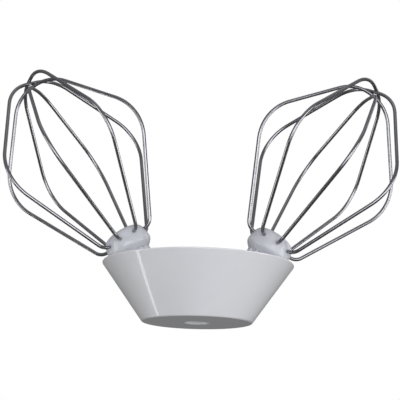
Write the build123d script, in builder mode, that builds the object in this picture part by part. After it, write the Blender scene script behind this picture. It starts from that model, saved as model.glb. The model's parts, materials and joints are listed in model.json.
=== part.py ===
"""Twin whisk head for a centre-column stand mixer.

A round conical housing turns with the mixer's drive shaft. Its sun gear is held still by the mixer's
column, so two inclined bevel pinions roll round it and spin two balloon whisks. Millimetres, +Z up.
The origin is the centre of the small end face, and X runs from the left whisk to the right whisk.
"""
from math import atan2, cos, pi, radians, sin
import os

from build123d import *

os.makedirs("parts", exist_ok=True)

# ---- Housing: a cone with its wide end up ----
end_radius = 33.1            # where the cone would meet the end face
rim_radius = 58.5            # where the cone would meet the rim plane
housing_height = 35.3
end_fillet = 1.8
rim_fillet = 0.5
wall = 2.8
floor_top = 3.6
dimple_radius = 7.6
dimple_depth = 2.0
dimple_draft = 1.2
dimple_fillet = 1.0

# ---- Whisk axes: they lean outwards and meet on the housing's own axis ----
lean = radians(32.6)
hub_reach = 44.7             # hub centre, from the housing's axis
hub_height = 49.5
hub_distance = hub_reach / sin(lean)
apex_height = hub_height - hub_distance * cos(lean)

# ---- Bevel gears: both pitch cones share the apex where the axes meet ----
sun_teeth = 24
pinion_teeth = 16
pinion_cone = atan2(sin(lean), sun_teeth / pinion_teeth + cos(lean))
sun_cone = lean - pinion_cone
outer_cone_distance = 53.0
inner_cone_distance = 43.0
gear_module = 2 * outer_cone_distance * sin(pinion_cone) / pinion_teeth
tooth_addendum = 0.80
tooth_dedendum = 1.20

# ---- Sun gear, and the mixer parts that it and the insert fit over ----
column_radius = 9.5          # bore over the mixer's fixed column
column_key_width = 3.2
column_key_depth = 1.2
sleeve_radius = 11.5
sleeve_bottom = 13.1
sleeve_top = 39.0
sun_web_top = 30.5
shaft_radius = 4.5           # blind socket for the drive shaft
shaft_key_width = 2.0
shaft_key_depth = 1.1
insert_radius = 7.0
drive_boss_radius = 11.4
drive_boss_top = 12.0

# ---- Cover over the gears ----
cover_bottom = 31.2
cover_top = 34.0
cover_radius = 53.0
gasket_thickness = 0.8
ledge_radius = 49.6          # inner edge of the seat for the gasket
middle_collar_radius = 15.6
middle_collar_top = 36.5
bush_radius = 13.3
bush_top = 34.6              # the wiper seal lies over the bush
upper_washer_radius = 15.2
rib_angles = (60, 90, 120, 240, 270, 300)
rib_middle = 31.0
rib_length = 32.0
rib_width = 1.6
rib_rise = 1.2
screw_circle = 46.0
screw_angles = (40, 140, 220, 320)
screw_radius = 1.6
screw_head_radius = 3.0
screw_head_height = 1.8
screw_head_depth = 1.0       # how far each head sits into the cover
screw_recess = (3.0, 0.7)    # arms of the cross recess
screw_length = 8.0
post_radius = 4.2
post_height = 9.0

# ---- Spindle stack, by distance from the apex along the whisk axis ----
spindle_bottom = 30.5
pinion_seat_bottom = 41.8
pinion_seat_top = 52.2
spindle_top = 67.6
spindle_radius = 7.0
seat_radius = 6.0
pivot_radius = 4.6
pivot_boss_radius = 7.6
pivot_boss_top = 35.0
collar_radius = 12.8
pocket_radius = 11.6         # room for the hub's flange to turn in
collar_bottom = 56.0
collar_top = 67.4
upper_bush_radius = 8.9
upper_bush_top = 64.8
socket_bottom = 44.0
stem_flats = 6.9
fit_gap = 0.05
bush_wall = 1.4
clip_thickness = 0.8
clip_below = 1.2             # from the clip to the pinion's seat
clip_groove_depth = 0.4
circlip_thickness = 1.0
circlip_groove_depth = 0.5
circlip_gap = 0.4            # from the middle collar to the circlip

# ---- Whisk, by distance from the hub centre along the whisk axis ----
wire_radius = 1.1
dome_height = 6.2
dome_radius = 14.0
dome_shoulder = (11.7, 3.8)
dome_widest = -3.0
dome_skirt = (12.7, -7.9)
dome_bottom = -10.0
dome_foot_radius = 10.6
neck_radius = 9.9
flute_count = 12
flute_circle = 9.2
flute_radius = 1.4
flange_radius = 10.7
base_bottom = -14.4
flange_thickness = 2.0
spigot_radius = 7.0          # the neck's spigot, up in the dome
spigot_height = 2.4
stem_radius = 4.0            # round end of the stem, up in the hub
stem_height = 9.0
groove_bottom = -31.0        # O-ring groove round the stem
groove_width = 1.4
groove_radius = 2.2
o_ring_radius = 0.6
stem_bottom = -38.0
leg_start = 9.6              # inner end of each wire leg, in its hole in the dome
leg_bend = (18.3, -0.3)
bend_fillet = 7.5
shoulder_fillet = 28.4
tip_fillet = 24.0

# Each hand-bent loop: its angle about the whisk axis, then the corners of its shoulder and tip.
# The tips lie one over another, at least a wire's thickness apart.
wire_loops = (
    (16.5, (52.5, 64.5), (12.5, 115.7)),
    (62.0, (57.5, 61.5), (16.0, 120.5)),
    (103.0, (56.0, 65.0), (14.5, 113.0)),
    (142.0, (56.5, 62.5), (16.5, 118.1)),
)


def save(piece, name):
    """Label one finished piece and write it as its own STEP file."""
    piece.part.label = name
    export_step(piece.part, f"parts/{name}.step")


def lean_axis(side):
    """Direction of a whisk axis: side is -1 for the left whisk and 1 for the right."""
    return Vector(side * sin(lean), 0, cos(lean))


def inward(side):
    """Direction across a whisk axis that points up and towards the other whisk."""
    return Vector(-side * cos(lean), 0, sin(lean))


def cross_plane(side, distance):
    """Plane square to a whisk axis, at a distance from the apex."""
    return Plane(
        origin=Vector(0, 0, apex_height) + lean_axis(side) * distance,
        x_dir=inward(side),
        z_dir=lean_axis(side),
    )


def spin_axis(side):
    """A whisk axis as an Axis to revolve about."""
    return Axis((0, 0, apex_height), lean_axis(side))


def ring(inner, outer, bottom, top, chamfer_size=0.0):
    """A plain ring round the housing's axis."""
    with BuildPart() as made:
        with BuildSketch(Plane.XY.offset(bottom)):
            Circle(outer)
            Circle(inner, mode=Mode.SUBTRACT)
        extrude(amount=top - bottom)
        if chamfer_size:
            chamfer(made.edges().filter_by(GeomType.CIRCLE).group_by(Axis.Z)[-1], chamfer_size)
    return made


def leaning_ring(side, inner, outer, bottom, top):
    """A plain ring round a whisk axis, between two distances from the apex."""
    with BuildPart() as made:
        with BuildSketch(cross_plane(side, bottom)):
            Circle(outer)
            Circle(inner, mode=Mode.SUBTRACT)
        extrude(amount=top - bottom)
    return made


def clip_ring(plane, inner, outer, thickness, gap_width):
    """An open spring ring with two lugs, lying on a plane."""
    with BuildPart() as made:
        with BuildSketch(plane):
            Circle(outer)
            with Locations((inner + 0.9, 0)):
                Rectangle(3.2, gap_width + 3.0)
            Circle(inner, mode=Mode.SUBTRACT)
            with Locations((outer, 0)):
                Rectangle(2.6 * (outer - inner) + 2.0, gap_width, mode=Mode.SUBTRACT)
        extrude(amount=thickness)
    return made


def tooth_outline(teeth, cone_angle, distance, phase):
    """Corner points of a whole gear's outline, square to its axis at one cone distance.

    The phase is in teeth: 0 puts a tooth on the outline's x axis, and 0.5 puts a gap there.
    """
    size = distance / outer_cone_distance
    pitch_radius = distance * sin(cone_angle)
    module = gear_module * size
    root_radius = pitch_radius - tooth_dedendum * module
    tip_radius = pitch_radius + tooth_addendum * module
    pitch_angle = 2 * pi / teeth
    half_root = 0.27 * pitch_angle
    half_pitch = 0.20 * pitch_angle
    half_tip = 0.10 * pitch_angle
    points = []
    for tooth in range(teeth):
        middle = (tooth + phase) * pitch_angle
        for radius, angle in (
            (root_radius, -half_root),
            (pitch_radius, -half_pitch),
            (tip_radius, -half_tip),
            (tip_radius, half_tip),
            (pitch_radius, half_pitch),
            (root_radius, half_root),
        ):
            points.append((radius * cos(middle + angle), radius * sin(middle + angle)))
    return points


def cone_radius(height):
    """Outer radius of the housing's cone at a height."""
    return end_radius + (rim_radius - end_radius) * height / housing_height


screw_places = [
    (screw_circle * cos(radians(angle)), screw_circle * sin(radians(angle))) for angle in screw_angles
]

# ---- Housing shell ----
slope = atan2(rim_radius - end_radius, housing_height)
wall_across = wall / cos(slope)

with BuildPart() as housing_shell:
    with BuildSketch(Plane.XZ) as outer_profile:
        with BuildLine():
            Polyline(
                (0, 0),
                (end_radius, 0),
                (rim_radius, housing_height),
                (0, housing_height),
                close=True,
            )
        make_face()
        fillet(outer_profile.vertices().sort_by(Axis.X)[-1], rim_fillet)
        fillet(outer_profile.vertices().group_by(Axis.Y)[0].sort_by(Axis.X)[-1], end_fillet)
    revolve(axis=Axis.Z)
    # Cavity for the gears, down to the floor
    with BuildSketch(Plane.XZ) as cavity_profile:
        with BuildLine():
            Polyline(
                (0, floor_top),
                (cone_radius(floor_top) - wall_across, floor_top),
                (ledge_radius, cover_bottom - gasket_thickness),
                (0, cover_bottom - gasket_thickness),
                close=True,
            )
        make_face()
    revolve(axis=Axis.Z, mode=Mode.SUBTRACT)
    # Seat for the gasket and the cover, open at the rim
    with BuildSketch(Plane.XY.offset(cover_bottom - gasket_thickness)):
        Circle(cover_radius + 0.1)
    extrude(amount=housing_height, mode=Mode.SUBTRACT)
    # Screw posts, kept inside the cone
    with BuildSketch(Plane.XY.offset(cover_bottom - gasket_thickness - post_height)):
        with Locations(*screw_places):
            Circle(post_radius)
    extrude(amount=post_height)
    # Boss for the drive insert, and the two leaning pivot bosses
    with BuildSketch(Plane.XY.offset(floor_top - 0.5)):
        Circle(drive_boss_radius)
    extrude(amount=drive_boss_top - floor_top + 0.5)
    for side in (-1, 1):
        with BuildSketch(cross_plane(side, spindle_bottom - 5)):
            Circle(pivot_boss_radius)
        extrude(amount=pivot_boss_top - spindle_bottom + 5)
    # Everything that would stand out of the cone is cut back to its outside
    with BuildSketch(Plane.XZ):
        with BuildLine():
            Polyline(
                (end_radius - 0.6, -12),
                (end_radius - 0.6, 0),
                (0, 0),
                (0, -12),
                close=True,
            )
        make_face()
    revolve(axis=Axis.Z, mode=Mode.SUBTRACT)
    with BuildSketch(Plane.XZ):
        with BuildLine():
            Polyline(
                (cone_radius(floor_top), floor_top),
                (rim_radius + 12, floor_top),
                (rim_radius + 12, housing_height),
                (rim_radius, housing_height),
                close=True,
            )
        make_face()
    revolve(axis=Axis.Z, mode=Mode.SUBTRACT)
    # Bores: screw pilots, insert pocket, pivot bush pockets, and the dimple in the end face
    with BuildSketch(Plane.XY.offset(cover_top - 1.5 - screw_length)):
        with Locations(*screw_places):
            Circle(screw_radius)
    extrude(amount=20, mode=Mode.SUBTRACT)
    with BuildSketch(Plane.XY.offset(floor_top)):
        Circle(insert_radius)
    extrude(amount=drive_boss_top, mode=Mode.SUBTRACT)
    for side in (-1, 1):
        with BuildSketch(cross_plane(side, spindle_bottom - 0.5)):
            Circle(pivot_radius + bush_wall)
        extrude(amount=20, mode=Mode.SUBTRACT)
    with BuildSketch(Plane.XZ) as dimple_profile:
        with BuildLine():
            Polyline(
                (0, 0),
                (dimple_radius, 0),
                (dimple_radius - dimple_draft, dimple_depth),
                (0, dimple_depth),
                close=True,
            )
        make_face()
        fillet(dimple_profile.vertices().group_by(Axis.Y)[-1].sort_by(Axis.X)[-1], dimple_fillet)
    revolve(axis=Axis.Z, mode=Mode.SUBTRACT)
save(housing_shell, "housing_shell")

# ---- Gear cover: disc with ribs, middle collar and two leaning collars ----
with BuildPart() as gear_cover:
    # Walls of the two flange pockets, cut level with the disc
    for side in (-1, 1):
        with BuildSketch(cross_plane(side, collar_bottom)):
            Circle(collar_radius)
        extrude(amount=collar_top - collar_bottom + 12)
    with BuildSketch(Plane.XY.offset(cover_top)):
        Circle(rim_radius)
    extrude(amount=housing_height, mode=Mode.SUBTRACT)
    with BuildSketch(Plane.XY.offset(cover_bottom)):
        Circle(cover_radius)
    extrude(amount=cover_top - cover_bottom)
    chamfer(gear_cover.edges().filter_by(GeomType.CIRCLE).sort_by(SortBy.RADIUS)[-1], 0.5)
    with BuildSketch(Plane.XY.offset(cover_bottom)):
        Circle(middle_collar_radius)
    extrude(amount=middle_collar_top - cover_bottom)
    fillet(gear_cover.edges().group_by(Axis.Z)[-1], 0.6)
    for side in (-1, 1):
        with BuildSketch(cross_plane(side, collar_bottom)):
            Circle(collar_radius)
        extrude(amount=collar_top - collar_bottom)
    # Ribs on the disc, from the middle collar to the rim, front and back
    for angle in rib_angles:
        with BuildSketch(Plane.XY.offset(cover_bottom)):
            with Locations(Rotation(0, 0, angle)):
                with Locations((rib_middle, 0)):
                    Rectangle(rib_length, rib_width)
        extrude(amount=cover_top - cover_bottom + rib_rise)
    with BuildSketch(Plane.XY.offset(cover_bottom - 1)):
        Circle(bush_radius)
    extrude(amount=middle_collar_top, mode=Mode.SUBTRACT)
    for side in (-1, 1):
        with BuildSketch(cross_plane(side, collar_bottom - 8)):
            Circle(upper_bush_radius)
        extrude(amount=collar_top, mode=Mode.SUBTRACT)
        with BuildSketch(cross_plane(side, collar_top)):
            Circle(pocket_radius)
        extrude(amount=collar_top, mode=Mode.SUBTRACT)
    with BuildSketch(Plane.XY.offset(cover_bottom - 1)):
        with Locations(*screw_places):
            Circle(screw_radius + 0.2)
    extrude(amount=10, mode=Mode.SUBTRACT)
    with BuildSketch(Plane.XY.offset(cover_top - screw_head_depth)):
        with Locations(*screw_places):
            Circle(screw_head_radius + 0.3)
    extrude(amount=10, mode=Mode.SUBTRACT)
save(gear_cover, "gear_cover")

# ---- Gasket under the cover ----
with BuildPart() as cover_gasket:
    with BuildSketch(Plane.XY.offset(cover_bottom - gasket_thickness)):
        Circle(cover_radius)
        Circle(ledge_radius, mode=Mode.SUBTRACT)
        with Locations(*screw_places):
            Circle(post_radius)
            Circle(screw_radius + 0.2, mode=Mode.SUBTRACT)
    extrude(amount=gasket_thickness)
save(cover_gasket, "cover_gasket")

# ---- Four cover screws in one node: pan heads with a cross recess ----
with BuildPart() as cover_screws:
    with BuildSketch(Plane.XY.offset(cover_top - screw_head_depth - screw_length)):
        with Locations(*screw_places):
            Circle(screw_radius)
    extrude(amount=screw_length)
    with BuildSketch(Plane.XY.offset(cover_top - screw_head_depth)):
        with Locations(*screw_places):
            Circle(screw_head_radius)
    extrude(amount=screw_head_height)
    fillet(cover_screws.edges().group_by(Axis.Z)[-1], 0.7)
    with BuildSketch(Plane.XY.offset(cover_top)):
        with Locations(*screw_places):
            Rectangle(*screw_recess)
            Rectangle(*screw_recess[::-1])
    extrude(amount=2, mode=Mode.SUBTRACT)
save(cover_screws, "cover_screws")

# ---- Drive insert: a metal bush in the floor boss, with two keyways for the drive shaft ----
with BuildPart() as drive_insert:
    with BuildSketch(Plane.XY.offset(floor_top)):
        Circle(insert_radius)
        Circle(shaft_radius, mode=Mode.SUBTRACT)
        Rectangle(2 * (shaft_radius + shaft_key_depth), shaft_key_width, mode=Mode.SUBTRACT)
    extrude(amount=drive_boss_top - floor_top)
save(drive_insert, "drive_insert")

# ---- Sun gear with its sleeve, bored and keyed for the mixer's column ----
with BuildPart() as sun_gear:
    for distance in (inner_cone_distance, outer_cone_distance):
        height = apex_height + distance * cos(sun_cone)
        with BuildSketch(Plane.XY.offset(height)):
            with BuildLine():
                Polyline(*tooth_outline(sun_teeth, sun_cone, distance, 0), close=True)
            make_face()
    loft(ruled=True)
    with BuildSketch(Plane.XY.offset(apex_height + outer_cone_distance * cos(sun_cone))):
        Circle(outer_cone_distance * sin(sun_cone) - tooth_dedendum * gear_module)
    extrude(amount=sun_web_top - apex_height - outer_cone_distance * cos(sun_cone))
    with BuildSketch(Plane.XY.offset(sleeve_bottom)):
        Circle(sleeve_radius)
    extrude(amount=sleeve_top - sleeve_bottom)
    with BuildSketch(Plane.XY.offset(sleeve_bottom)):
        Circle(column_radius)
        Rectangle(2 * (column_radius + column_key_depth), column_key_width)
    extrude(amount=sleeve_top, mode=Mode.SUBTRACT)
    # Groove for the circlip
    with BuildSketch(Plane.XY.offset(middle_collar_top + circlip_gap)):
        Circle(sleeve_radius + 2)
        Circle(sleeve_radius - circlip_groove_depth, mode=Mode.SUBTRACT)
    extrude(amount=circlip_thickness, mode=Mode.SUBTRACT)
save(sun_gear, "sun_gear")

circlip_plane = Plane.XY.offset(middle_collar_top + circlip_gap)
circlip_bore = sleeve_radius - circlip_groove_depth
save(clip_ring(circlip_plane, circlip_bore, bush_radius, circlip_thickness, 3.4), "sun_circlip")

save(ring(sleeve_radius + fit_gap, bush_radius, cover_bottom, bush_top), "sun_bush")
save(ring(sleeve_radius + 0.1, bush_radius, bush_top + 0.1, middle_collar_top, 0.3), "sun_wiper_seal")
save(
    ring(sleeve_radius + 0.3, upper_washer_radius, sun_web_top + fit_gap, cover_bottom),
    "upper_thrust_washer",
)
save(ring(column_radius + 0.3, drive_boss_radius, drive_boss_top, sleeve_bottom - 0.1), "lower_thrust_washer")

# ---- Two spindles with their pinions, bushes, seals, washers and clips ----
for side, hand in ((-1, "left"), (1, "right")):
    with BuildPart() as pinion:
        for distance in (inner_cone_distance, outer_cone_distance):
            with BuildSketch(cross_plane(side, distance * cos(pinion_cone))):
                with BuildLine():
                    Polyline(*tooth_outline(pinion_teeth, pinion_cone, distance, 0.5), close=True)
                make_face()
        loft(ruled=True)
        with BuildSketch(cross_plane(side, pinion_seat_bottom)):
            Circle(seat_radius)
        extrude(amount=pinion_seat_top - pinion_seat_bottom, mode=Mode.SUBTRACT)
    save(pinion, f"{hand}_pinion")

    with BuildPart() as spindle:
        for radius, bottom, top in (
            (pivot_radius, spindle_bottom, pinion_seat_bottom),
            (seat_radius, pinion_seat_bottom, pinion_seat_top),
            (spindle_radius, pinion_seat_top, spindle_top),
        ):
            with BuildSketch(cross_plane(side, bottom)):
                Circle(radius)
            extrude(amount=top - bottom)
        with BuildSketch(cross_plane(side, socket_bottom)):
            RegularPolygon(stem_flats / 2 + fit_gap, 6, major_radius=False)
        extrude(amount=spindle_top, mode=Mode.SUBTRACT)
        with BuildSketch(cross_plane(side, pinion_seat_bottom - clip_below)):
            Circle(spindle_radius)
            Circle(pivot_radius - clip_groove_depth, mode=Mode.SUBTRACT)
        extrude(amount=clip_thickness, mode=Mode.SUBTRACT)
    save(spindle, f"{hand}_spindle")

    clip_plane = cross_plane(side, pinion_seat_bottom - clip_below)
    clip_bore = pivot_radius - clip_groove_depth
    save(clip_ring(clip_plane, clip_bore, seat_radius + 0.8, clip_thickness, 2.0), f"{hand}_spindle_clip")
    save(
        leaning_ring(side, pivot_radius + fit_gap, pivot_radius + bush_wall, spindle_bottom - 0.5, pivot_boss_top),
        f"{hand}_pivot_bush",
    )
    save(
        leaning_ring(side, pivot_radius + 0.3, pivot_boss_radius, pivot_boss_top, pivot_boss_top + 1.0),
        f"{hand}_thrust_washer",
    )
    save(
        leaning_ring(side, spindle_radius + fit_gap, upper_bush_radius, collar_bottom, upper_bush_top),
        f"{hand}_upper_bush",
    )
    save(
        leaning_ring(side, spindle_radius + 0.1, upper_bush_radius, upper_bush_top + 0.1, collar_top),
        f"{hand}_shaft_seal",
    )

# ---- Two whisks ----
leg_angles = [angle + half_turn for half_turn in (0, 180) for angle, _, _ in wire_loops]
for side, hand in ((-1, "left"), (1, "right")):
    def hub_plane(height):
        """Plane square to this whisk's axis, measured from its hub centre."""
        return cross_plane(side, hub_distance + height)

    hub_centre = hub_plane(0).origin
    hub_profile = Plane(
        origin=hub_centre, x_dir=inward(side), z_dir=inward(side).cross(lean_axis(side))
    )

    # Domed top of the hub, with a radial hole for each wire leg
    with BuildPart() as hub_dome:
        with BuildSketch(hub_profile) as dome_profile:
            with BuildLine():
                Spline(
                    (0, dome_height),
                    (7.5, dome_height - 0.5),
                    dome_shoulder,
                    (dome_radius, dome_widest),
                    dome_skirt,
                    tangents=((1, 0), (-1, -1)),
                )
                Line(dome_skirt, (dome_foot_radius, dome_bottom))
                Line((dome_foot_radius, dome_bottom), (0, dome_bottom))
                Line((0, dome_bottom), (0, dome_height))
            make_face()
        revolve(axis=spin_axis(side))
        with BuildSketch(hub_plane(dome_bottom)):
            Circle(spigot_radius)
        extrude(amount=spigot_height + 0.1, mode=Mode.SUBTRACT)
        with BuildSketch(hub_plane(dome_bottom)):
            Circle(stem_radius)
        extrude(amount=stem_height, mode=Mode.SUBTRACT)
        for leg_angle in leg_angles:
            turn = radians(side * leg_angle)
            outward_dir = inward(side) * cos(turn) + lean_axis(side).cross(inward(side)) * sin(turn)
            hole_start = hub_plane(leg_bend[1]).origin + outward_dir * leg_start
            with BuildSketch(Plane(origin=hole_start, z_dir=outward_dir)):
                Circle(wire_radius)
            extrude(amount=12, mode=Mode.SUBTRACT)
    save(hub_dome, f"{hand}_hub_dome")

    # Fluted neck and flange under the dome
    with BuildPart() as hub_neck:
        with BuildSketch(hub_plane(base_bottom)):
            Circle(flange_radius)
        extrude(amount=flange_thickness)
        with BuildSketch(hub_plane(base_bottom)):
            Circle(neck_radius)
            with PolarLocations(flute_circle, flute_count):
                Circle(flute_radius)
        extrude(amount=dome_bottom - base_bottom)
        with BuildSketch(hub_plane(dome_bottom)):
            Circle(spigot_radius)
        extrude(amount=spigot_height)
        with BuildSketch(hub_plane(base_bottom)):
            Circle(stem_radius)
        extrude(amount=20, mode=Mode.SUBTRACT)
    save(hub_neck, f"{hand}_hub_neck")

    # Hex stem that plugs into the spindle, with a groove for its O-ring
    with BuildPart() as stem:
        with BuildSketch(hub_plane(stem_bottom)):
            RegularPolygon(stem_flats / 2, 6, major_radius=False)
        extrude(amount=base_bottom - stem_bottom)
        chamfer(stem.edges().group_by(Axis((0, 0, 0), lean_axis(side)))[0], 0.6)
        with BuildSketch(hub_plane(base_bottom)):
            Circle(stem_radius)
        extrude(amount=dome_bottom + stem_height - base_bottom)
        with BuildSketch(hub_plane(groove_bottom)):
            Circle(stem_flats)
            Circle(groove_radius, mode=Mode.SUBTRACT)
        extrude(amount=groove_width, mode=Mode.SUBTRACT)
    save(stem, f"{hand}_stem")

    with BuildPart() as o_ring:
        with BuildSketch(hub_profile):
            with Locations((groove_radius + o_ring_radius, groove_bottom + groove_width / 2)):
                Circle(o_ring_radius)
        revolve(axis=spin_axis(side))
    save(o_ring, f"{hand}_stem_o_ring")

    # Bent wire loops, crossing in a stack at the tip
    for number, (loop_angle, shoulder, tip) in enumerate(wire_loops, start=1):
        turn = radians(side * loop_angle)
        across = inward(side) * cos(turn) + lean_axis(side).cross(inward(side)) * sin(turn)
        loop_plane = Plane(origin=hub_centre, x_dir=across, z_dir=across.cross(lean_axis(side)))
        half = [(leg_start, leg_bend[1]), leg_bend, shoulder, tip]
        corners = half + [(-x, y) for x, y in reversed(half)]
        bends = [bend_fillet, shoulder_fillet, tip_fillet]
        with BuildPart() as wire:
            with BuildLine(loop_plane) as route:
                FilletPolyline(*corners, radius=bends + bends[::-1])
            with BuildSketch(Plane(origin=route.wire() @ 0, z_dir=route.wire() % 0)):
                Circle(wire_radius)
            sweep(path=route.wire())
        save(wire, f"{hand}_wire_loop_{number}")
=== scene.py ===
"""Looks of a twin whisk head: glossy cone housing, milky hubs, polished wires, a soft studio.

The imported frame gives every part's place. Operators finish one group of pieces each, and main()
calls them in order.
"""

import json
from math import pi, radians

import bmesh
import bpy
from bpy.props import FloatProperty, FloatVectorProperty, PointerProperty
from mathutils import Matrix, Vector

bl_info = {
    "name": "Twin Whisk Head",
    "version": (1, 0, 0),
    "blender": (4, 5, 0),
    "location": "3D View > Sidebar > Whisk Head",
    "description": "Finishes the twin whisk head's pieces and lights them in a plain studio",
    "category": "Object",
}

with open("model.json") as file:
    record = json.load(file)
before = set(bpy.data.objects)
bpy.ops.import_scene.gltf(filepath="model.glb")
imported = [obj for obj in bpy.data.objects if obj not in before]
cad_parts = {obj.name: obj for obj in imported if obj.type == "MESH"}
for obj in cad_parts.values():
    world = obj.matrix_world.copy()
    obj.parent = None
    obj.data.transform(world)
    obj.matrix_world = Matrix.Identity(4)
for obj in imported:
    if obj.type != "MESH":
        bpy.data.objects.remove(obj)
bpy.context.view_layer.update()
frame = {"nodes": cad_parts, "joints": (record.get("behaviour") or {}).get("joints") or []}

HANDS = ("left", "right")
LOOPS = (1, 2, 3, 4)
UPRIGHT = (0, 0, 1)                # the housing's own axis
WHITE = (1.0, 1.0, 1.0)
COOL_WHITE = (0.94, 0.945, 1.0)
LIGHTS_AIM = (0.0, 0.0, 0.04)      # the point every softbox faces, in metres
SENSOR_WIDTH = 36.0                # in millimetres
TURNING_PITCH = 0.0004             # between the rings of a turned surface, in metres
MILK_DEPTH = 0.004                 # how far light goes into milky plastic, in metres

# Sockets of a colour Mix node
MIX_SHARE, MIX_FIRST, MIX_SECOND = 0, 6, 7
MIX_RESULT = 2


# ---------------------------------------------------------------- shader maths
class Value:
    """A shader socket that Python arithmetic can use; each operation adds a Math node."""

    def __init__(self, graph, socket):
        self.graph = graph
        self.socket = socket

    def combine(self, operation, *parts):
        return self.graph.node("ShaderNodeMath", {"operation": operation}, *parts)

    def __add__(self, other):
        return self.combine("ADD", self, other)

    def __sub__(self, other):
        return self.combine("SUBTRACT", self, other)

    def __mul__(self, other):
        return self.combine("MULTIPLY", self, other)

    def __rsub__(self, other):
        return self.combine("SUBTRACT", other, self)

    __radd__ = __add__
    __rmul__ = __mul__


class Graph:
    """The node tree of one material, with its Principled shader ready."""

    def __init__(self, name):
        self.material = bpy.data.materials.new(name)
        self.material.use_nodes = True
        self.tree = self.material.node_tree
        self.shader = self.tree.nodes["Principled BSDF"]

    def feed(self, socket, held):
        if isinstance(held, Value):
            self.tree.links.new(held.socket, socket)
        else:
            socket.default_value = held

    def node(self, kind, settings=None, *inputs, output=0, **named):
        """Adds a node: settings first, then inputs by place or by name. Gives one output."""
        made = self.tree.nodes.new(kind)
        for key, setting in (settings or {}).items():
            setattr(made, key, setting)
        by_place = list(enumerate(inputs))
        by_name = [(key.replace("_", " "), held) for key, held in named.items()]
        for key, held in by_place + by_name:
            self.feed(made.inputs[key], held)
        return Value(self, made.outputs[output])

    def set(self, **named):
        """Sets or links the Principled shader's own sockets."""
        for key, held in named.items():
            self.feed(self.shader.inputs[key.replace("_", " ")], held)

    def place(self):
        """The piece's own coordinates, in metres."""
        return self.node("ShaderNodeTexCoord", output="Object")

    def noise(self, where, scale, detail):
        """Noise from 0 to 1; scale is its features per metre."""
        return self.node("ShaderNodeTexNoise", None, Vector=where, Scale=scale, Detail=detail)

    def stretched(self, where, factors):
        """Coordinates with a scale of their own along each axis."""
        return self.node("ShaderNodeMapping", None, Vector=where, Scale=factors)

    def ramp(self, value, low, high):
        """0 below low, 1 above high and smooth between."""
        settings = {"interpolation_type": "SMOOTHSTEP"}
        return self.node("ShaderNodeMapRange", settings, value, low, high, 0.0, 1.0)

    def mix(self, share, first, second):
        """A colour between two colours."""
        made = self.tree.nodes.new("ShaderNodeMix")
        made.data_type = "RGBA"
        self.feed(made.inputs[MIX_SHARE], share)
        self.feed(made.inputs[MIX_FIRST], first)
        self.feed(made.inputs[MIX_SECOND], second)
        return Value(self, made.outputs[MIX_RESULT])

    def bump(self, height, strength, distance):
        """A relief from heights of 0 to 1; distance is its depth in metres."""
        named = {"Strength": strength, "Distance": distance, "Height": height}
        return self.node("ShaderNodeBump", None, **named)


def shade(colour, factor):
    """A colour times a factor, opaque."""
    return tuple(min(1.0, part * factor) for part in colour[:3]) + (1.0,)


# ---------------------------------------------------------------- materials
def moulded_plastic(name, colour, roughness, gloss, milky=0.0):
    """Injection-moulded plastic: faint flow clouds, handling marks and an orange-peel skin."""
    graph = Graph(name)
    where = graph.place()
    clouds = graph.ramp(graph.noise(where, scale=28.0, detail=4.0), low=0.35, high=0.7)
    smudges = graph.ramp(graph.noise(where, scale=75.0, detail=5.0), low=0.5, high=0.72)
    drawn_out = graph.stretched(where, factors=(70.0, 900.0, 260.0))
    hairlines = graph.noise(drawn_out, scale=1.0, detail=2.0)
    scratches = graph.ramp(hairlines, low=0.68, high=0.76)
    peel = graph.noise(where, scale=1500.0, detail=2.0)
    graph.set(
        Base_Color=graph.mix(clouds, shade(colour, 0.975), shade(colour, 1.015)),
        Roughness=roughness + 0.07 * smudges + 0.10 * scratches,
        Normal=graph.bump(peel + 0.6 * scratches, strength=0.06, distance=0.0002),
        Coat_Weight=gloss,
        Coat_Roughness=0.03,
        Subsurface_Weight=milky,
        Subsurface_Radius=(1.0, 0.9, 0.8),
        Subsurface_Scale=MILK_DEPTH,
    )
    return graph.material


def polished_wire(name, colour, roughness):
    """Drawn and polished stainless wire: small tint changes, rubbed patches and fine marks."""
    graph = Graph(name)
    where = graph.place()
    tint = graph.ramp(graph.noise(where, scale=60.0, detail=3.0), low=0.35, high=0.65)
    rubbed = graph.ramp(graph.noise(where, scale=190.0, detail=4.0), low=0.5, high=0.7)
    marks = graph.noise(where, scale=2600.0, detail=3.0)
    graph.set(
        Base_Color=graph.mix(tint, shade(colour, 0.9), shade(colour, 1.1)),
        Roughness=roughness + 0.06 * rubbed + 0.02 * marks,
        Metallic=1.0,
        Normal=graph.bump(marks, strength=0.01, distance=0.00001),
    )
    return graph.material


def turned_metal(name, colour, roughness, axis):
    """Metal turned on a lathe: fine rings square to its axis."""
    graph = Graph(name)
    where = graph.place()
    settings = {"operation": "DOT_PRODUCT"}
    along = graph.node("ShaderNodeVectorMath", settings, where, tuple(axis), output="Value")
    fine = graph.node("ShaderNodeCombineXYZ", None, along * (1.0 / TURNING_PITCH), 0.0, 0.0)
    rings = graph.noise(fine, scale=1.0, detail=3.0)
    stains = graph.ramp(graph.noise(where, scale=120.0, detail=4.0), low=0.45, high=0.7)
    graph.set(
        Base_Color=graph.mix(stains, shade(colour, 1.0), shade(colour, 0.82)),
        Roughness=roughness + 0.14 * rings + 0.08 * stains,
        Metallic=1.0,
        Normal=graph.bump(rings, strength=0.25, distance=0.00012),
    )
    return graph.material


def sintered_bronze(name, colour):
    """Porous bearing bronze, darker in its oil-filled pores."""
    graph = Graph(name)
    where = graph.place()
    pores = graph.ramp(graph.noise(where, scale=2400.0, detail=3.0), low=0.55, high=0.68)
    patina = graph.ramp(graph.noise(where, scale=150.0, detail=4.0), low=0.4, high=0.7)
    toned = graph.mix(patina, shade(colour, 1.05), shade(colour, 0.8))
    graph.set(
        Base_Color=graph.mix(pores, toned, shade(colour, 0.35)),
        Roughness=0.38 + 0.25 * pores,
        Metallic=1.0,
        Normal=graph.bump(1.0 - pores, strength=0.3, distance=0.0001),
    )
    return graph.material


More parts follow.
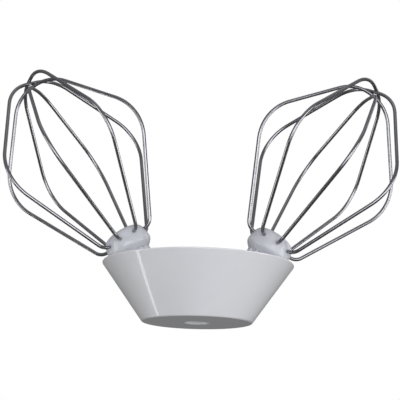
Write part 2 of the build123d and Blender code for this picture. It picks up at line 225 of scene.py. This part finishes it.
def soft_rubber(name, colour):
    """Moulded rubber with a dusty bloom and a fine grain."""
    graph = Graph(name)
    where = graph.place()
    bloom = graph.ramp(graph.noise(where, scale=220.0, detail=4.0), low=0.45, high=0.75)
    grain = graph.noise(where, scale=3200.0, detail=2.0)
    graph.set(
        Base_Color=graph.mix(bloom, shade(colour, 1.0), shade(colour, 1.5)),
        Roughness=0.55 + 0.18 * bloom,
        Normal=graph.bump(grain, strength=0.2, distance=0.0001),
    )
    return graph.material


def dress(material, *nodes):
    """Gives CAD nodes a material."""
    for name in nodes:
        for held in frame["nodes"][name].material_slots:
            held.material = material


def colour_setting(name, description, default):
    """A colour that a user can change."""
    return FloatVectorProperty(
        name=name, description=description, default=default, subtype="COLOR", min=0.0, max=1.0
    )


def length_setting(name, description, default):
    """A length that a user can change, in metres."""
    return FloatProperty(name=name, description=description, default=default, unit="LENGTH")


# ---------------------------------------------------------------- settings
class WhiskHeadFinish(bpy.types.PropertyGroup):
    """Colours of the head's parts."""

    housing: colour_setting("Housing", "Glossy white moulding of the cone", (0.775, 0.78, 0.79))
    hub: colour_setting("Hubs", "Milky nylon of the whisk hubs", (0.625, 0.637, 0.665))
    wire: colour_setting("Wires", "Polished stainless wire", (0.30, 0.30, 0.31))
    steel: colour_setting("Steel", "Turned stainless of stems and spindles", (0.55, 0.55, 0.56))
    brass: colour_setting("Insert", "Brass of the drive insert", (0.72, 0.55, 0.28))
    bronze: colour_setting("Bushes", "Sintered bronze of the bushes", (0.52, 0.34, 0.18))
    gear: colour_setting("Gears", "Natural acetal of the gears", (0.84, 0.82, 0.76))
    rubber: colour_setting("Seals", "Nitrile rubber of seals and O-rings", (0.03, 0.03, 0.032))
    gasket: colour_setting("Gasket", "Grey silicone of the cover gasket", (0.28, 0.28, 0.29))


class WhiskHeadStudio(bpy.types.PropertyGroup):
    """Camera and floor."""

    eye_distance: length_setting("Eye distance", "From the head's axis to the camera", 0.6346)
    eye_drop: length_setting("Eye drop", "Camera height under the small end face", 0.0768)
    eye_shift: length_setting("Eye shift", "Camera place to the right of the head's axis", 0.0001)
    pitch: FloatProperty(
        name="Pitch", description="How far the camera looks up", default=radians(13.53), unit="ROTATION"
    )
    roll: FloatProperty(
        name="Roll", description="Turn about the line of sight", default=radians(1.43), unit="ROTATION"
    )
    lens: FloatProperty(name="Lens", description="Focal length on a 36 mm sensor", default=95.26)
    floor_drop: length_setting("Floor drop", "Floor under the small end face", 0.16)
    floor_size: length_setting("Floor size", "Side of the square floor", 6.0)


# ---------------------------------------------------------------- operators
class WHISK_OT_housing(bpy.types.Operator):
    """Finish the cone housing, its cover, gasket and screws"""

    bl_idname = "whisk_head.housing"
    bl_label = "Housing"

    def execute(self, context):
        finish = context.scene.whisk_finish
        shell = moulded_plastic("glossy_white", finish.housing, roughness=0.3, gloss=0.8)
        cover = moulded_plastic(
            "cover_white", shade(finish.housing, 0.97), roughness=0.32, gloss=0.2
        )
        screws = turned_metal("screw_steel", finish.steel, roughness=0.22, axis=UPRIGHT)
        dress(shell, "housing_shell")
        dress(cover, "gear_cover")
        dress(soft_rubber("gasket_silicone", finish.gasket), "cover_gasket")
        dress(screws, "cover_screws")
        return {"FINISHED"}


class WHISK_OT_drive(bpy.types.Operator):
    """Finish the sun gear, both spindles and everything they run in"""

    bl_idname = "whisk_head.drive"
    bl_label = "Drive"

    def execute(self, context):
        finish = context.scene.whisk_finish
        gears = moulded_plastic("gear_acetal", finish.gear, roughness=0.36, gloss=0.0, milky=0.1)
        washers = moulded_plastic(
            "washer_nylon", shade(finish.gear, 1.05), roughness=0.42, gloss=0.0
        )
        bronze = sintered_bronze("bush_bronze", finish.bronze)
        rubber = soft_rubber("seal_rubber", finish.rubber)
        spring = turned_metal(
            "spring_steel", shade(finish.steel, 0.55), roughness=0.3, axis=UPRIGHT
        )
        brass = turned_metal("insert_brass", finish.brass, roughness=0.2, axis=UPRIGHT)
        dress(gears, "sun_gear", "left_pinion", "right_pinion")
        dress(washers, "upper_thrust_washer", "lower_thrust_washer")
        dress(brass, "drive_insert")
        dress(bronze, "sun_bush")
        dress(rubber, "sun_wiper_seal")
        dress(spring, "sun_circlip")
        for hand in HANDS:
            axis = joint_axis(f"{hand}_spindle_spin")
            turned = turned_metal(f"{hand}_turned_steel", finish.steel, roughness=0.2, axis=axis)
            dress(turned, f"{hand}_spindle", f"{hand}_stem")
            dress(washers, f"{hand}_thrust_washer")
            dress(bronze, f"{hand}_pivot_bush", f"{hand}_upper_bush")
            dress(rubber, f"{hand}_shaft_seal", f"{hand}_stem_o_ring")
            dress(spring, f"{hand}_spindle_clip")
        return {"FINISHED"}


class WHISK_OT_whisks(bpy.types.Operator):
    """Finish the hubs and the wires of both whisks"""

    bl_idname = "whisk_head.whisks"
    bl_label = "Whisks"

    def execute(self, context):
        finish = context.scene.whisk_finish
        nylon = moulded_plastic("hub_nylon", finish.hub, roughness=0.34, gloss=0.15, milky=0.35)
        wire = polished_wire("whisk_wire", finish.wire, roughness=0.18)
        for hand in HANDS:
            dress(nylon, f"{hand}_hub_dome", f"{hand}_hub_neck")
            for loop in LOOPS:
                dress(wire, f"{hand}_wire_loop_{loop}")
        return {"FINISHED"}


def joint_axis(name):
    """A joint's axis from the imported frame."""
    for joint in frame["joints"]:
        if joint["name"] == name:
            return Vector(joint["axis"])
    raise KeyError(name)


def softbox(name, place, size, radiance, colour=WHITE):
    """A rectangular area light that faces the head; its power follows from its radiance."""
    data = bpy.data.lights.new(name, "AREA")
    data.shape = "RECTANGLE"
    data.size = size[0]
    data.size_y = size[1]
    data.energy = radiance * pi * size[0] * size[1]
    data.color = colour
    light = bpy.data.objects.new(name, data)
    light.location = place
    towards = Vector(LIGHTS_AIM) - Vector(place)
    light.rotation_euler = towards.to_track_quat("-Z", "Y").to_euler()
    light.visible_camera = False
    bpy.context.scene.collection.objects.link(light)


class WHISK_OT_stage(bpy.types.Operator):
    """Build the floor, the sky, the lights and the camera"""

    bl_idname = "whisk_head.stage"
    bl_label = "Stage"

    def execute(self, context):
        studio = context.scene.whisk_studio
        self.floor(context, studio)
        self.sky(context)
        self.lights()
        self.camera(context, studio)
        context.scene.view_settings.view_transform = "Standard"
        return {"FINISHED"}

    def floor(self, context, studio):
        """A pale floor that the head's own light and shade ignore."""
        form = bmesh.new()
        side = studio.floor_size / 2
        bmesh.ops.create_grid(form, x_segments=1, y_segments=1, size=side)
        bmesh.ops.translate(form, verts=form.verts, vec=(0, 0, -studio.floor_drop))
        mesh = bpy.data.meshes.new("studio_floor")
        form.to_mesh(mesh)
        form.free()
        floor = bpy.data.objects.new("studio_floor", mesh)
        context.scene.collection.objects.link(floor)
        graph = Graph("studio_floor")
        grain = graph.noise(graph.place(), scale=6.0, detail=3.0)
        graph.set(
            Base_Color=graph.mix(grain, (0.78, 0.78, 0.79, 1.0), (0.82, 0.82, 0.83, 1.0)),
            Roughness=0.75,
        )
        mesh.materials.append(graph.material)
        floor.visible_diffuse = False
        floor.visible_glossy = False
        floor.visible_shadow = False

    def sky(self, context):
        """White to the camera; to the pieces a dim sky, darker below than above."""
        world = bpy.data.worlds.new("studio_sky")
        world.use_nodes = True
        context.scene.world = world
        tree = world.node_tree
        background = tree.nodes["Background"]
        seen = tree.nodes.new("ShaderNodeBackground")
        seen.inputs["Color"].default_value = (*WHITE, 1.0)
        where = tree.nodes.new("ShaderNodeTexCoord")
        split = tree.nodes.new("ShaderNodeSeparateXYZ")
        ramp = tree.nodes.new("ShaderNodeValToRGB")
        low, high = ramp.color_ramp.elements
        low.position = 0.35
        low.color = (0.13, 0.13, 0.13, 1.0)
        high.position = 0.75
        high.color = (0.30, 0.30, 0.32, 1.0)
        lift = tree.nodes.new("ShaderNodeMapRange")
        lift.inputs["From Min"].default_value = -1.0
        path = tree.nodes.new("ShaderNodeLightPath")
        choice = tree.nodes.new("ShaderNodeMixShader")
        tree.links.new(where.outputs["Generated"], split.inputs[0])
        tree.links.new(split.outputs["Z"], lift.inputs["Value"])
        tree.links.new(lift.outputs[0], ramp.inputs["Fac"])
        tree.links.new(ramp.outputs["Color"], background.inputs["Color"])
        tree.links.new(path.outputs["Is Camera Ray"], choice.inputs["Fac"])
        tree.links.new(background.outputs[0], choice.inputs[1])
        tree.links.new(seen.outputs[0], choice.inputs[2])
        tree.links.new(choice.outputs[0], tree.nodes["World Output"].inputs["Surface"])

    def lights(self):
        """Two side lights and a broad front one; the narrow strip draws the cone's bright line."""
        softbox(
            "front_softbox", place=(0.2, -1.5, -0.02), size=(1.7, 0.9), radiance=3.4, colour=COOL_WHITE
        )
        softbox("right_softbox", place=(1.45, -0.4, -0.2), size=(0.7, 0.8), radiance=5.0)
        softbox("left_softbox", place=(-1.4, -0.45, -0.2), size=(0.6, 0.8), radiance=3.5)
        softbox("top_softbox", place=(0.1, -0.3, 1.3), size=(1.2, 0.9), radiance=0.3)
        softbox("low_left_strip", place=(-0.68, 0.15, -0.556), size=(0.8, 0.036), radiance=4.2)
        softbox("back_right", place=(0.9, 0.7, 0.5), size=(0.4, 0.9), radiance=1.0)

    def camera(self, context, studio):
        """A long lens, a little under the head and looking up at it."""
        data = bpy.data.cameras.new("studio_camera")
        data.lens = studio.lens
        data.sensor_width = SENSOR_WIDTH
        camera = bpy.data.objects.new("studio_camera", data)
        look_up = Matrix.Rotation(pi / 2 + studio.pitch, 4, "X")
        turn = Matrix.Rotation(studio.roll, 4, "Z")
        eye = Matrix.Translation((studio.eye_shift, -studio.eye_distance, -studio.eye_drop))
        camera.matrix_world = eye @ look_up @ turn
        context.scene.collection.objects.link(camera)
        context.scene.camera = camera


class WHISK_PT_panel(bpy.types.Panel):
    """Lists the head's operators and settings"""

    bl_idname = "WHISK_PT_panel"
    bl_label = "Twin Whisk Head"
    bl_space_type = "VIEW_3D"
    bl_region_type = "UI"
    bl_category = "Whisk Head"

    def draw(self, context):
        for operator in OPERATORS:
            self.layout.operator(operator.bl_idname)
        for group in (context.scene.whisk_finish, context.scene.whisk_studio):
            for name in group.__annotations__:
                self.layout.prop(group, name)


OPERATORS = (WHISK_OT_housing, WHISK_OT_drive, WHISK_OT_whisks, WHISK_OT_stage)
CLASSES = (WhiskHeadFinish, WhiskHeadStudio, *OPERATORS, WHISK_PT_panel)


def register():
    for made in CLASSES:
        bpy.utils.register_class(made)
    bpy.types.Scene.whisk_finish = PointerProperty(type=WhiskHeadFinish)
    bpy.types.Scene.whisk_studio = PointerProperty(type=WhiskHeadStudio)


def unregister():
    del bpy.types.Scene.whisk_finish
    del bpy.types.Scene.whisk_studio
    for made in reversed(CLASSES):
        bpy.utils.unregister_class(made)


def main():
    register()
    bpy.ops.whisk_head.housing()
    bpy.ops.whisk_head.drive()
    bpy.ops.whisk_head.whisks()
    bpy.ops.whisk_head.stage()


if __name__ == "__main__":
    main()
